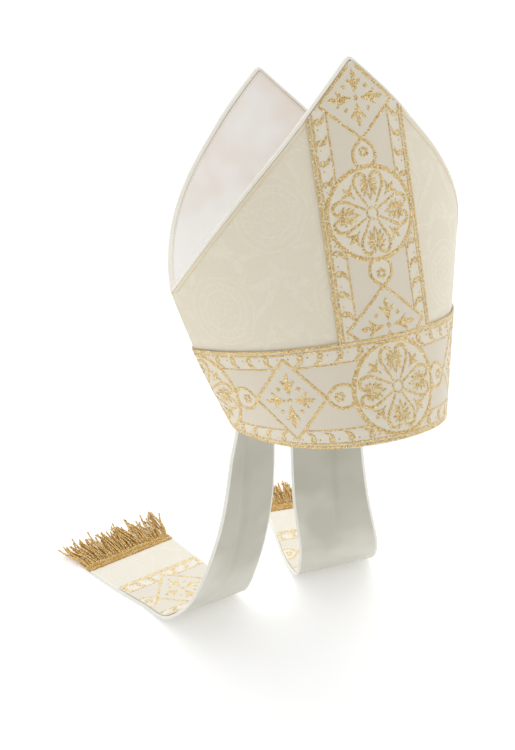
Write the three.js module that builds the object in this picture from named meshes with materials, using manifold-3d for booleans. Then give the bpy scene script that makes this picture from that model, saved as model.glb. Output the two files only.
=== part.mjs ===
// A bishop's mitre as it sits on a head: two stiff horns joined at the side seams, galloon bands,
// linings, rolled edges, and two lappets that hang from the back of the rim and lie down at their ends.
// Millimetres, +Z up. The front horn faces -Y and the wearer's right is -X.
// The origin is the middle of the head opening, on the line that joins the feet of the side seams.
import * as THREE from 'three';
import { mergeVertices } from 'three/addons/utils/BufferGeometryUtils.js';
import Module from 'manifold-3d';

const wasm = await Module();
wasm.setup();

// Horns, each cut from a flat sheet and bent round the head. Flat sizes are "across", from the middle
// of the horn, and "up", from the rim.
const RIM_QUARTER = 145.5;        // across at the rim, from the middle of a horn to a side seam
const SEAM_TOP_QUARTER = 161.5;   // across at the top of a side seam
const SEAM_HEIGHT = 122;
const RIM_HALF_DEPTH = 105;       // from the origin to the middle of the rim of either horn
const HORN_LEAN_DEG = 7;          // each horn leans in over the head
const TIP_BACK_DEG = 14.5;        // the whole mitre is tipped back
const CONE_DROP = 131;            // the lines that a horn bends along meet this far below its rim
const BEND_STEPS = 240;

// How sharply a horn bends, in degrees for a whole quarter of the rim, from its middle to the seam
const BENDS = [
  { share: 0, bend: 145 },
  { share: 0.25, bend: 137 },
  { share: 0.5, bend: 73 },
  { share: 0.75, bend: 61 },
  { share: 1, bend: 45 },
];

// The slanted edge of a horn, from just under the side seam's top to the peak
const HORN_EDGE = [
  { up: 111, across: 170 },
  { up: 119.4, across: 160.4 },
  { up: 143.5, across: 131.5 },
  { up: 167.7, across: 103.9 },
  { up: 191.8, across: 77.1 },
  { up: 216, across: 50.4 },
  { up: 240, across: 25.6 },
  { up: 263.2, across: 1 },
];
const EDGE_ROWS = 12;
const LOWER_ROWS = [0, 37.5, 75, 95];
const COLUMNS = 18;

// Layers of cloth
const PANEL_THICK = 2;
const LINING_THICK = 1;
const GALLOON_THICK = 1;
const GAP = 0.3;                  // between pieces that touch
const BAND_GAP = 0.5;             // between a galloon and what it is sewn on
const SEAM_ALLOWANCE = 4;         // cut off again at the seam's plane
const LINING_SHOWS = 1.2;         // the lining reaches below the rim
const PIPING_RADIUS = 1.5;
const PIPING_SIDES = 8;

// Galloon
const GALLOON_WIDTH = 75;
const RIM_MARGIN = 0.6;           // the rim band starts this far above the edge of the horn
const TITULUS_COLUMNS = 6;

// The valley between the horns
const VALLEY_HEIGHT = 108;        // where it meets the horns
const VALLEY_SAG = 20;
const VALLEY_REACH = 0.955;       // share of the way to the side seams
const VALLEY_COLUMNS = 16;
const VALLEY_ROWS = 6;

// Lappets. The right one is given, and the left one is its mirror image.
// Each row is the middle of the strap there, the turn of its width from +X, its width, and how far its
// middle bows out behind its edges.
const LAPPET_ROUTE = [
  { x: -38, y: 82.2, z: 7, turn: 36, width: 49, bow: 3.5 },
  { x: -35, y: 76.2, z: -20, turn: 39, width: 51, bow: 4 },
  { x: -35.5, y: 73.5, z: -66, turn: 28, width: 58, bow: 2 },
  { x: -42.6, y: 73.5, z: -137, turn: 21, width: 65, bow: 0.5 },
  { x: -59, y: 83, z: -208, turn: 15, width: 72, bow: 0 },
  { x: -69, y: 109, z: -248, turn: 5, width: 78, bow: 0 },
  { x: -76.5, y: 143, z: -254, turn: 7, width: 82, bow: 0 },
  { x: -87.5, y: 176, z: -254, turn: 9.5, width: 87, bow: 0 },
  { x: -101, y: 221, z: -254, turn: 10, width: 92, bow: 0 },
  { x: -114, y: 268, z: -254, turn: 10, width: 95, bow: 0 },
];
const LAPPET_LENGTH = 383;
const LAPPET_THICK = 2.5;
const LAPPET_ROW = 9;
const LAPPET_COLUMNS = 4;
const LAPPET_GALLOON_MARGIN = 41; // from the end of the strap to the galloon
const BRAID_WIDTH = 8;
const BRAID_THICK = 3.5;
const FRINGE_LENGTH = 36;
const FRINGE_THICK = 3;

const radians = THREE.MathUtils.degToRad;
const lerp = THREE.MathUtils.lerp;

// Value of column "key" at "at" in a table whose rows are in order of column "by"
function tableValue(table, by, key, at) {
  const next = Math.max(1, table.findIndex((row) => row[by] >= at));
  const last = at > table.at(-1)[by] ? table.length - 1 : next;
  const a = table[last - 1];
  const b = table[last];
  return lerp(a[key], b[key], (at - a[by]) / (b[by] - a[by]));
}

// The direction of each bend line of a horn and the outward normal along it, by the angle that the
// line has on the flat sheet
function bendLines() {
  const step = radians(54) / BEND_STEPS;
  let line = new THREE.Vector3(0, 0, 1);
  let side = new THREE.Vector3(1, 0, 0);
  let out = new THREE.Vector3(0, -1, 0);
  const lines = [{ line, out }];
  for (let i = 1; i <= BEND_STEPS; i++) {
    const share = (CONE_DROP * Math.tan((i - 0.5) * step)) / RIM_QUARTER;
    const shareStep = (CONE_DROP * (Math.tan(i * step) - Math.tan((i - 1) * step))) / RIM_QUARTER;
    const bend = radians(tableValue(BENDS, 'share', 'bend', Math.min(share, 1)) * shareStep);
    const turned = side.clone().multiplyScalar(Math.cos(step)).addScaledVector(line, -Math.sin(step));
    line = line.clone().multiplyScalar(Math.cos(step)).addScaledVector(side, Math.sin(step));
    side = turned.clone().multiplyScalar(Math.cos(bend)).addScaledVector(out, -Math.sin(bend));
    out = out.clone().multiplyScalar(Math.cos(bend)).addScaledVector(turned, Math.sin(bend));
    lines.push({ line, out });
  }
  return { step, lines };
}

const bent = bendLines();
const lean = new THREE.Matrix4().makeRotationX(-radians(HORN_LEAN_DEG));

// The point of the front horn that lies at (across, up) on the flat sheet, "out" outside its outer face
function hornPoint(across, up, out) {
  const fromCone = Math.hypot(across, up + CONE_DROP);
  const at = Math.atan2(Math.abs(across), up + CONE_DROP) / bent.step;
  const i = Math.min(Math.floor(at), BEND_STEPS - 1);
  const line = bent.lines[i].line.clone().lerp(bent.lines[i + 1].line, at - i).normalize();
  const normal = bent.lines[i].out.clone().lerp(bent.lines[i + 1].out, at - i).normalize();
  const point = line.multiplyScalar(fromCone).addScaledVector(normal, out);
  point.z -= CONE_DROP;
  point.applyMatrix4(lean);
  point.y -= RIM_HALF_DEPTH;
  point.x *= Math.sign(across);
  return point;
}

// Half the width of a horn's sheet at a height below the slanted edge, with the seam allowance
const seamAcross = (up) => lerp(RIM_QUARTER, SEAM_TOP_QUARTER, up / SEAM_HEIGHT) + SEAM_ALLOWANCE;

// The slanted edge as a smooth curve, and the rows of a horn's sheet from the rim to the peak
const edgeCurve = new THREE.SplineCurve(HORN_EDGE.map((row) => new THREE.Vector2(row.across, row.up)));
const edgePoints = edgeCurve.getSpacedPoints(EDGE_ROWS);
const edgeRows = edgePoints.map((p) => ({ up: p.y, across: Math.min(p.x, seamAcross(p.y)) }));
const lowerRows = LOWER_ROWS.map((up) => ({ up, across: seamAcross(up) }));
const hornRows = [...lowerRows, ...edgeRows];

// A closed body between two faces that are the same grid: pointAt(row, column, side), side 0 or 1
function wall(rows, columns, pointAt) {
  const positions = [];
  const index = [];
  const vertex = (side, i, j) => (side * (rows + 1) + i) * (columns + 1) + j;
  const quad = (a, b, c, d) => index.push(a, b, c, a, c, d);
  for (let side = 0; side < 2; side++) {
    for (let i = 0; i <= rows; i++) {
      for (let j = 0; j <= columns; j++) positions.push(...pointAt(i, j, side).toArray());
    }
  }
  for (let i = 0; i < rows; i++) {
    for (let j = 0; j < columns; j++) {
      quad(vertex(0, i, j), vertex(0, i, j + 1), vertex(0, i + 1, j + 1), vertex(0, i + 1, j));
      quad(vertex(1, i, j), vertex(1, i + 1, j), vertex(1, i + 1, j + 1), vertex(1, i, j + 1));
    }
    quad(vertex(0, i, 0), vertex(0, i + 1, 0), vertex(1, i + 1, 0), vertex(1, i, 0));
    quad(vertex(0, i, columns), vertex(1, i, columns), vertex(1, i + 1, columns), vertex(0, i + 1, columns));
  }
  for (let j = 0; j < columns; j++) {
    quad(vertex(0, 0, j), vertex(1, 0, j), vertex(1, 0, j + 1), vertex(0, 0, j + 1));
    quad(vertex(0, rows, j), vertex(0, rows, j + 1), vertex(1, rows, j + 1), vertex(1, rows, j));
  }
  return facingOut(positions, index);
}

// A geometry whose triangles face out, whichever way they were listed
function facingOut(positions, index) {
  const geometry = new THREE.BufferGeometry();
  geometry.setAttribute('position', new THREE.Float32BufferAttribute(positions, 3));
  const corner = (k) => new THREE.Vector3().fromArray(positions, 3 * k);
  let volume = 0;
  for (let k = 0; k < index.length; k += 3) {
    volume += corner(index[k]).dot(corner(index[k + 1]).cross(corner(index[k + 2])));
  }
  geometry.setIndex(volume > 0 ? index : index.reverse());
  return geometry;
}

function toManifold(geometry) {
  const bare = geometry.clone();
  bare.deleteAttribute('normal');
  bare.deleteAttribute('uv');
  const merged = mergeVertices(bare);
  return new wasm.Manifold(new wasm.Mesh({
    numProp: 3,
    vertProperties: new Float32Array(merged.attributes.position.array),
    triVerts: new Uint32Array(merged.index.array),
  }));
}

// Cuts a piece of the front horn off at the plane of the side seams
function cutAtSeams(geometry) {
  const size = 800;
  const box = new THREE.BoxGeometry(size, size, size);
  box.translate(0, -size / 2 - GAP / 2, 0);
  const mesh = toManifold(geometry).intersect(toManifold(box)).getMesh();
  return facingOut(Array.from(mesh.vertProperties), Array.from(mesh.triVerts));
}

// The same piece on the back horn
function mirrored(geometry, x, y) {
  const flipped = geometry.clone().scale(x, y, 1);
  return facingOut(Array.from(flipped.attributes.position.array), Array.from(flipped.index.array));
}

// A layer of the front horn between two distances from its outer face
function hornLayer(rows, columns, outer, inner) {
  return wall(rows.length - 1, columns, (i, j, side) => {
    const across = lerp(-rows[i].across, rows[i].across, j / columns);
    return hornPoint(across, rows[i].up, side === 0 ? outer : inner);
  });
}

function panel() {
  return cutAtSeams(hornLayer(hornRows, COLUMNS, 0, -PANEL_THICK));
}

function lining() {
  const outer = -PANEL_THICK - GAP;
  const rows = [{ up: -LINING_SHOWS, across: seamAcross(0) }, ...hornRows.slice(1)];
  return cutAtSeams(hornLayer(rows, COLUMNS, outer, outer - LINING_THICK));
}

function circulus() {
  const rows = [
    { up: RIM_MARGIN, across: seamAcross(RIM_MARGIN) },
    ...lowerRows.filter((row) => row.up > 0 && row.up <= GALLOON_WIDTH),
  ];
  return cutAtSeams(hornLayer(rows, COLUMNS, BAND_GAP + GALLOON_THICK, BAND_GAP));
}

function titulus() {
  const narrow = (row) => ({ up: row.up, across: Math.min(row.across, GALLOON_WIDTH / 2) });
  const foot = { up: GALLOON_WIDTH + GAP, across: GALLOON_WIDTH / 2 };
  const rows = [foot, ...hornRows.filter((row) => row.up > foot.up + 1).map(narrow)];
  return hornLayer(rows, TITULUS_COLUMNS, BAND_GAP + GALLOON_THICK, BAND_GAP);
}

// The roll along the slanted edges, from the foot of one V over the peak to the other
function edgePiping() {
  const left = edgePoints.map((p) => new THREE.Vector2(-p.x, p.y));
  const right = edgePoints.map((p) => new THREE.Vector2(p.x, p.y)).reverse();
  const path = [...left.slice(0, -1), new THREE.Vector2(0, edgePoints.at(-1).y + 0.8), ...right.slice(1)];
  const standOff = GAP + PIPING_RADIUS;
  const depth = -(PANEL_THICK + GAP + LINING_THICK) / 2;
  return tube(path.length - 1, PIPING_SIDES, (i, angle) => {
    const before = path[Math.max(i - 1, 0)];
    const after = path[Math.min(i + 1, path.length - 1)];
    const along = after.clone().sub(before).normalize();
    const outward = new THREE.Vector2(-along.y, along.x);
    const corner = i > 0 && i < path.length - 1 ? path[i].clone().sub(before).normalize().dot(along) : 1;
    const centre = path[i].clone().addScaledVector(outward, standOff / corner);
    const flat = centre.addScaledVector(outward, PIPING_RADIUS * Math.cos(angle));
    return hornPoint(flat.x, flat.y, depth + PIPING_RADIUS * Math.sin(angle));
  });
}

// A closed tube with flat ends: ringPoint(ring, angle)
function tube(rings, sides, ringPoint) {
  const positions = [];
  const index = [];
  const ends = [[], []];
  for (let i = 0; i <= rings; i++) {
    const centre = new THREE.Vector3();
    for (let k = 0; k < sides; k++) {
      const point = ringPoint(i, (2 * Math.PI * k) / sides);
      centre.addScaledVector(point, 1 / sides);
      positions.push(...point.toArray());
    }
    if (i === 0) ends[0] = centre.toArray();
    if (i === rings) ends[1] = centre.toArray();
  }
  positions.push(...ends[0], ...ends[1]);
  const firstEnd = (rings + 1) * sides;
  for (let k = 0; k < sides; k++) {
    const next = (k + 1) % sides;
    for (let i = 0; i < rings; i++) {
      const a = i * sides;
      const b = a + sides;
      index.push(a + k, a + next, b + next, a + k, b + next, b + k);
    }
    index.push(firstEnd, next, k);
    index.push(firstEnd + 1, rings * sides + k, rings * sides + next);
  }
  return facingOut(positions, index);
}

// The lining between the horns, a shallow valley that runs from one side seam to the other
function valley() {
  const out = -PANEL_THICK - LINING_THICK - 4 * GAP;
  const reach = (seamAcross(VALLEY_HEIGHT) - SEAM_ALLOWANCE) * VALLEY_REACH;
  return wall(VALLEY_ROWS, VALLEY_COLUMNS, (i, j, side) => {
    const toBack = (2 * i) / VALLEY_ROWS - 1;
    const toSide = (2 * j) / VALLEY_COLUMNS - 1;
    const point = hornPoint(toSide * reach, VALLEY_HEIGHT, out);
    point.y *= -toBack;
    point.z -= VALLEY_SAG * (1 - toBack ** 2) * (1 - toSide ** 4) + side * LINING_THICK;
    return point;
  });
}

// The strap of a lappet as two smooth curves on the same rows: where its middle is, and its turn, width
// and bow
const routeCurve = new THREE.CatmullRomCurve3(LAPPET_ROUTE.map((r) => new THREE.Vector3(r.x, r.y, r.z)));
const shapeCurve = new THREE.CatmullRomCurve3(LAPPET_ROUTE.map((r) => new THREE.Vector3(r.turn, r.width, r.bow)));
const routeLength = routeCurve.getLength();

// A point of the lappet: how far along, "share" of the way from its middle to an edge, how far outside
function lappetPoint(along, share, out) {
  const t = routeCurve.getUtoTmapping(along / routeLength);
  const { x: turn, y: width, z: bow } = shapeCurve.getPoint(t);
  const across = new THREE.Vector3(Math.cos(radians(turn)), Math.sin(radians(turn)), 0);
  const outward = across.clone().cross(routeCurve.getTangent(t)).normalize();
  const point = routeCurve.getPoint(t).addScaledVector(across, (share * width) / 2);
  return point.addScaledVector(outward, out + bow * (1 - share ** 2));
}

// A layer of the lappet from one length along it to another, between two distances from its middle
function lappetLayer(from, to, outer, inner, widen = 1) {
  const rows = Math.max(1, Math.ceil((to - from) / LAPPET_ROW));
  return wall(rows, LAPPET_COLUMNS, (i, j, side) => {
    const share = ((2 * j) / LAPPET_COLUMNS - 1) * widen;
    return lappetPoint(lerp(from, to, i / rows), share, side === 0 ? outer : inner);
  });
}

const cloth = (color) => new THREE.MeshStandardMaterial({ color, roughness: 0.75, metalness: 0 });
const DAMASK = cloth('#e4ddcc');
const SATIN = cloth('#ebe8e0');
const GALLOON = cloth('#ddd2bb');
const GOLD = new THREE.MeshStandardMaterial({ color: '#b8903f', roughness: 0.45, metalness: 0.6 });

function add(group, name, geometry, material) {
  const mesh = new THREE.Mesh(geometry, material);
  mesh.name = name;
  group.add(mesh);
}

const mitre = new THREE.Group();

const hat = new THREE.Group();
hat.rotation.x = -radians(TIP_BACK_DEG);
mitre.add(hat);
const hornPieces = [
  { name: 'panel', geometry: panel(), material: DAMASK },
  { name: 'lining', geometry: lining(), material: SATIN },
  { name: 'edge_piping', geometry: cutAtSeams(edgePiping()), material: SATIN },
  { name: 'circulus', geometry: circulus(), material: GALLOON },
  { name: 'titulus', geometry: titulus(), material: GALLOON },
];
for (const { name, geometry, material } of hornPieces) {
  add(hat, `front_${name}`, geometry, material);
  add(hat, `back_${name}`, mirrored(geometry, 1, -1), material);
}
add(hat, 'valley_lining', valley(), SATIN);

const face = LAPPET_THICK / 2;
const galloonEnd = LAPPET_LENGTH - LAPPET_GALLOON_MARGIN;
const braidStart = LAPPET_LENGTH + GAP;
const fringeStart = braidStart + BRAID_WIDTH + GAP;
const lappetPieces = [
  { name: '', geometry: lappetLayer(0, LAPPET_LENGTH, face, -face), material: DAMASK },
  {
    name: '_galloon',
    geometry: lappetLayer(galloonEnd - GALLOON_WIDTH, galloonEnd, face + BAND_GAP + GALLOON_THICK, face + BAND_GAP),
    material: GALLOON,
  },
  {
    name: '_braid',
    geometry: lappetLayer(braidStart, braidStart + BRAID_WIDTH, BRAID_THICK - face, -face),
    material: GOLD,
  },
  {
    name: '_fringe',
    geometry: lappetLayer(fringeStart, fringeStart + FRINGE_LENGTH, FRINGE_THICK - face, -face, 1.02),
    material: GOLD,
  },
];
for (const { name, geometry, material } of lappetPieces) {
  add(mitre, `lappet_right${name}`, geometry, material);
  add(mitre, `lappet_left${name}`, mirrored(geometry, -1, 1), material);
}

export default mitre;
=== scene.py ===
import math

import bpy
import numpy as np
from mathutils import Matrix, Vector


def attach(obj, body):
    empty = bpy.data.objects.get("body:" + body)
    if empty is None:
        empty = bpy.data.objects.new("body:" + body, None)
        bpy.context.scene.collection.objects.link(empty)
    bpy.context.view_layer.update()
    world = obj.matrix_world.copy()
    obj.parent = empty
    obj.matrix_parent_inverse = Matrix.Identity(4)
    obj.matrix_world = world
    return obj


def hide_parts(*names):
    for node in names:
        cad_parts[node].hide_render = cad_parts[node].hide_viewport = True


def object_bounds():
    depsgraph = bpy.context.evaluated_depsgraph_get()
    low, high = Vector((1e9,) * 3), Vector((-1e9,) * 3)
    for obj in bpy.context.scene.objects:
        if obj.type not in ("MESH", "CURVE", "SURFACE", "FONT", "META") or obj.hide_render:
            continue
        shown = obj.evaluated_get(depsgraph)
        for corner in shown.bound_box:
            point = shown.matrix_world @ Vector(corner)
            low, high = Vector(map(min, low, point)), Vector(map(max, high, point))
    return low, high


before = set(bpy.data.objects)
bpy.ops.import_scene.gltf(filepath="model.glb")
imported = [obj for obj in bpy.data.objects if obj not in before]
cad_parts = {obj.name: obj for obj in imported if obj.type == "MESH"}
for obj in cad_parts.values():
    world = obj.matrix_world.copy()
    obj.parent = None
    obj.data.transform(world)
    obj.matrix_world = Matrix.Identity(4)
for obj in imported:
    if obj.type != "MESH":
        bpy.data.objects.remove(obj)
cad_low, cad_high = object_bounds()
MM = 0.001
FULL_TURN = 2 * math.pi

# ---- the mitre's cut, as in the CAD part
RIM_QUARTER = 145.5  # across at the rim, from the middle of a horn to a side seam
RIM_HALF_DEPTH = 105
HORN_LEAN = math.radians(7)
TIP_BACK = math.radians(14.5)
CONE_DROP = 131  # the lines that a horn bends along meet this far below its rim
BEND_STEPS = 240
BEND_STEP = math.radians(54) / BEND_STEPS
BEND_SHARE = [0, 0.25, 0.5, 0.75, 1]
BEND_DEGREES = [145, 137, 73, 61, 45]

# The slanted edge of a horn: up from the rim, across from its middle
HORN_EDGE = np.array([
    (111, 170), (119.4, 160.4), (143.5, 131.5), (167.7, 103.9),
    (191.8, 77.1), (216, 50.4), (240, 25.6), (263.2, 1),
], float)
PEAK = HORN_EDGE[-1, 0]

PANEL_THICK = 2
LINING_THICK = 1
GALLOON_THICK = 1
GAP = 0.3
BAND_GAP = 0.5
BAND_FACE = BAND_GAP + GALLOON_THICK
LINING_FACE = -PANEL_THICK - GAP
LINING_SHOWS = 1.2
PIPING_RADIUS = 1.5
GALLOON_WIDTH = 75
RIM_MARGIN = 0.6
VALLEY_HEIGHT = 108
VALLEY_SAG = 20
VALLEY_SEAM = 159.8  # across at that height, from the middle of a horn to a side seam
VALLEY_REACH = 0.955
VALLEY_HALF_LENGTH = 95  # on the flat cloth, from its middle to a horn

# A lappet's strap: the middle (x, y, z), then the turn of its width, its width, and its bow
LAPPET_ROUTE = np.array([
    (-38, 82.2, 7, 36, 49, 3.5),
    (-35, 76.2, -20, 39, 51, 4),
    (-35.5, 73.5, -66, 28, 58, 2),
    (-42.6, 73.5, -137, 21, 65, 0.5),
    (-59, 83, -208, 15, 72, 0),
    (-69, 109, -248, 5, 78, 0),
    (-76.5, 143, -254, 7, 82, 0),
    (-87.5, 176, -254, 9.5, 87, 0),
    (-101, 221, -254, 10, 92, 0),
    (-114, 268, -254, 10, 95, 0),
])
LAPPET_LENGTH = 383
LAPPET_THICK = 2.5
LAPPET_GALLOON_MIDDLE = LAPPET_LENGTH - 41 - GALLOON_WIDTH / 2
BRAID_WIDTH = 8

# Creases of a lappet: where along it they begin, are full, start to fade and end
CREASE_STRETCH = (30, 90, 145, 215)
CREASE_HEIGHT = 2.4
CREASE_HALF_WIDTH = 0.12  # as a share of half the lappet's width
CREASE_DRIFT = 1200  # along the lappet, for a crease to move by half its width
RIPPLE_HEIGHT = 0.6


# ---- curves
def unit(vectors):
    return vectors / np.linalg.norm(vectors, axis=-1, keepdims=True)


def hermite(start, end, start_speed, end_speed, steps):
    """Points of a curve from start to end with those speeds at its ends; end itself is left out"""
    t = (np.arange(steps) / steps)[:, None]
    whole = end - start
    return start + start_speed * t + (3 * whole - 2 * start_speed - end_speed) * t**2 \
        + (start_speed + end_speed - 2 * whole) * t**3


def spline(points, steps):
    """A smooth line through points, with steps to each stretch"""
    points = np.asarray(points, float)
    padded = np.vstack([points[:1], points, points[-1:]])
    speeds = (padded[2:] - padded[:-2]) / 2
    line = [hermite(*points[i:i + 2], *speeds[i:i + 2], steps) for i in range(len(points) - 1)]
    return np.vstack([*line, points[-1:]])


def route(points, steps=40):
    """A centripetal Catmull-Rom curve through points, with its ends carried straight on"""
    p = np.vstack([2 * points[0] - points[1], points, 2 * points[-1] - points[-2]])
    line = []
    for i in range(len(points) - 1):
        d0, d1, d2 = (np.linalg.norm(p[i + k + 1] - p[i + k]) ** 0.5 for k in range(3))
        a, b, c, d = p[i:i + 4]
        v0 = ((b - a) / d0 - (c - a) / (d0 + d1) + (c - b) / d1) * d1
        v1 = ((c - b) / d1 - (d - b) / (d1 + d2) + (d - c) / d2) * d1
        line.append(hermite(b, c, v0, v1, steps))
    return np.vstack([*line, points[-1:]])


def lengths(line):
    """How far along a line each of its points is"""
    return np.concatenate([[0], np.cumsum(np.linalg.norm(np.diff(line, axis=0), axis=1))])


def at(values, marks, where):
    """Columns of values, which stand at marks, read at where"""
    return np.stack([np.interp(where, marks, column) for column in values.T], -1)


def spaced(line, step):
    """The same line with points an even step apart, measured on its first two columns"""
    along = lengths(line[:, :2])
    count = max(2, math.ceil(along[-1] / step) + 1)
    return at(line, along, np.linspace(0, along[-1], count))


def tipped(points, angle):
    """Points turned back about the X axis"""
    x, y, z = np.moveaxis(points, -1, 0)
    c, s = math.cos(angle), math.sin(angle)
    return np.stack([x, y * c + z * s, z * c - y * s], -1)


# ---- the horns' surface
def bend_lines():
    """The bend lines of a horn and the outward normals along them, by their angle on the flat sheet"""
    line, side, out = np.eye(3)[2], np.eye(3)[0], -np.eye(3)[1]
    lines, normals = [line], [out]
    for i in range(1, BEND_STEPS + 1):
        share = CONE_DROP * math.tan((i - 0.5) * BEND_STEP) / RIM_QUARTER
        share_step = CONE_DROP * (math.tan(i * BEND_STEP) - math.tan((i - 1) * BEND_STEP)) / RIM_QUARTER
        bend = math.radians(np.interp(share, BEND_SHARE, BEND_DEGREES) * share_step)
        turned = side * math.cos(BEND_STEP) - line * math.sin(BEND_STEP)
        line = line * math.cos(BEND_STEP) + side * math.sin(BEND_STEP)
        side = turned * math.cos(bend) - out * math.sin(bend)
        out = out * math.cos(bend) + turned * math.sin(bend)
        lines.append(line)
        normals.append(out)
    return np.array(lines), np.array(normals)


BEND_LINES, BEND_NORMALS = bend_lines()
EDGE_LINE = spline(HORN_EDGE, 40)
SEAM_SEARCH = (100, 190)  # a side seam lies between these, across from the middle of a horn


def horn_level(across, up, out):
    """Points of the front horn at flat places, "out" outside its outer face, before the mitre is tipped"""
    across, up, out = np.broadcast_arrays(*(np.asarray(v, float) for v in (across, up, out)))
    place = np.arctan2(np.abs(across), up + CONE_DROP) / BEND_STEP
    i = np.minimum(place.astype(int), BEND_STEPS - 1)
    share = (place - i)[..., None]
    line = unit(BEND_LINES[i] * (1 - share) + BEND_LINES[i + 1] * share)
    normal = unit(BEND_NORMALS[i] * (1 - share) + BEND_NORMALS[i + 1] * share)
    points = line * np.hypot(across, up + CONE_DROP)[..., None] + normal * out[..., None]
    points = tipped(points - (0, 0, CONE_DROP), HORN_LEAN) - (0, RIM_HALF_DEPTH, 0)
    points[..., 0] *= np.sign(across)
    return points


def horn(across, up, out, facing):
    """The same points in metres on the whole mitre: facing 1 is the front horn and -1 the back one"""
    return tipped(horn_level(across, up, out) * (1, facing, 1), TIP_BACK) * MM


def seam_across(up, out):
    """Half the width of a layer of a horn where it meets the plane of the side seams"""
    up = np.asarray(up, float)
    low, high = (np.full(up.shape, float(limit)) for limit in SEAM_SEARCH)
    for _ in range(30):
        middle = (low + high) / 2
        inside = horn_level(middle, up, out)[..., 1] < -GAP / 2
        low, high = np.where(inside, middle, low), np.where(inside, high, middle)
    return low


def edge_across(up):
    """Half the width of a horn at its slanted edge"""
    return np.interp(up, EDGE_LINE[:, 0], EDGE_LINE[:, 1])


def half_width(up, out):
    """Half the width of a layer of a horn, up to its side seam or its slanted edge"""
    up = np.asarray(up, float)
    slanted = np.where(up > EDGE_LINE[0, 0], edge_across(up), np.inf)
    return np.minimum(seam_across(up, out), slanted)


# ---- the lappets' surface
LAPPET_LINE = route(LAPPET_ROUTE[:, :3])
LAPPET_FORM = route(LAPPET_ROUTE[:, 3:])
LAPPET_MARKS = lengths(LAPPET_LINE)
LAPPET_TANGENTS = unit(np.gradient(LAPPET_LINE, LAPPET_MARKS, axis=0))


def lappet_width(along):
    return np.interp(along, LAPPET_MARKS, LAPPET_FORM[:, 1])


def lappet_crease(along, share):
    """Soft lengthwise creases in the hanging stretch of a lappet"""
    hanging = np.interp(along, CREASE_STRETCH, (0, 1, 1, 0))
    ridge = np.exp(-((share + 0.2 - along / CREASE_DRIFT) / CREASE_HALF_WIDTH) ** 2)
    return hanging * (CREASE_HEIGHT * ridge + RIPPLE_HEIGHT * np.sin(5 * share + along / 55))


def lappet(along, share, out, side):
    """Points in metres of the right (side 1) or left (side -1) lappet: share runs from -1 to 1 across it"""
    along, share, out = np.broadcast_arrays(*(np.asarray(v, float) for v in (along, share, out)))
    turn, width, bow = np.moveaxis(at(LAPPET_FORM, LAPPET_MARKS, along), -1, 0)
    turn = np.radians(turn)
    across = np.stack([np.cos(turn), np.sin(turn), 0 * turn], -1)
    outward = unit(np.cross(across, unit(at(LAPPET_TANGENTS, LAPPET_MARKS, along))))
    points = at(LAPPET_LINE, LAPPET_MARKS, along) + across * (share * width / 2)[..., None]
    points = points + outward * (out + bow * (1 - share**2) + lappet_crease(along, share))[..., None]
    return points * (side, 1, 1) * MM


# ---- meshes
SHARP_EDGE = math.radians(50)
CUT_EDGE = math.radians(60)


def in_metres(flat):
    return flat * MM


def flat_grid(across, up):
    """Flat places of the two faces of a wall whose sizes on the cloth are the same"""
    places = np.stack(np.broadcast_arrays(across, up), -1).reshape(-1, 2)
    return np.vstack([places, places])


def make_piece(name, points, faces, material, slot, nodes=(), flat=None):
    """A mesh that rides on the part; flat gives each point's place on the cloth as it was cut"""
    mesh = bpy.data.meshes.new(name)
    mesh.from_pydata(np.asarray(points).tolist(), [], faces)
    if flat is not None:
        layer = mesh.uv_layers.new(name="Flat")
        corners = np.empty(len(mesh.loops), np.int32)
        mesh.loops.foreach_get("vertex_index", corners)
        layer.data.foreach_set("uv", np.asarray(flat, np.float32)[corners].ravel())
    mesh.materials.append(material)
    mesh.shade_smooth()
    mesh.set_sharp_from_angle(angle=SHARP_EDGE)
    piece = bpy.data.objects.new(name, mesh)
    bpy.context.scene.collection.objects.link(piece)
    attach(piece, "root")
    if nodes:
        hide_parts(*nodes)
    return piece


def soften(piece, width):
    """Rounds the cut edges of a closed cloth"""
    bevel = piece.modifiers.new("Soft edge", "BEVEL")
    bevel.width = width * MM
    bevel.segments = 2
    bevel.limit_method = "ANGLE"
    bevel.angle_limit = CUT_EDGE


def grid_faces(rows, columns, start=0, flip=False):
    """Quads of a grid of (rows + 1) by (columns + 1) points"""
    i, j = np.meshgrid(np.arange(rows), np.arange(columns), indexing="ij")
    a = start + i * (columns + 1) + j
    quads = np.stack([a, a + 1, a + columns + 2, a + columns + 1], -1).reshape(-1, 4)
    return quads[:, ::-1] if flip else quads


def volume(points, quads):
    """Above 0 where the quads of a closed body face outwards"""
    a, b, c, d = (points[quads[:, k]] for k in range(4))
    return float((np.cross(b, c) * a).sum() + (np.cross(c, d) * a).sum())


def wall(outer, inner):
    """Points and faces of a closed body between two grids of points"""
    rows, columns = outer.shape[0] - 1, outer.shape[1] - 1
    count = (rows + 1) * (columns + 1)
    index = np.arange(count).reshape(rows + 1, columns + 1)
    ring = np.concatenate([index[0, :-1], index[:-1, -1], index[-1, :0:-1], index[:0:-1, 0]])
    after = np.roll(ring, -1)
    sides = np.stack([ring, ring + count, after + count, after], -1)
    quads = np.vstack([grid_faces(rows, columns), grid_faces(rows, columns, count, True), sides])
    points = np.concatenate([outer.reshape(-1, 3), inner.reshape(-1, 3)])
    if volume(points, quads) < 0:
        quads = quads[:, ::-1]
    return points, quads.tolist()


def make_cloth(name, faces, material, slot, flat):
    """A closed cloth between its two faces, which stands for the CAD piece called name"""
    return make_piece(f"{name}_cloth", *wall(*faces), material, slot, [name], flat)


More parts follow.
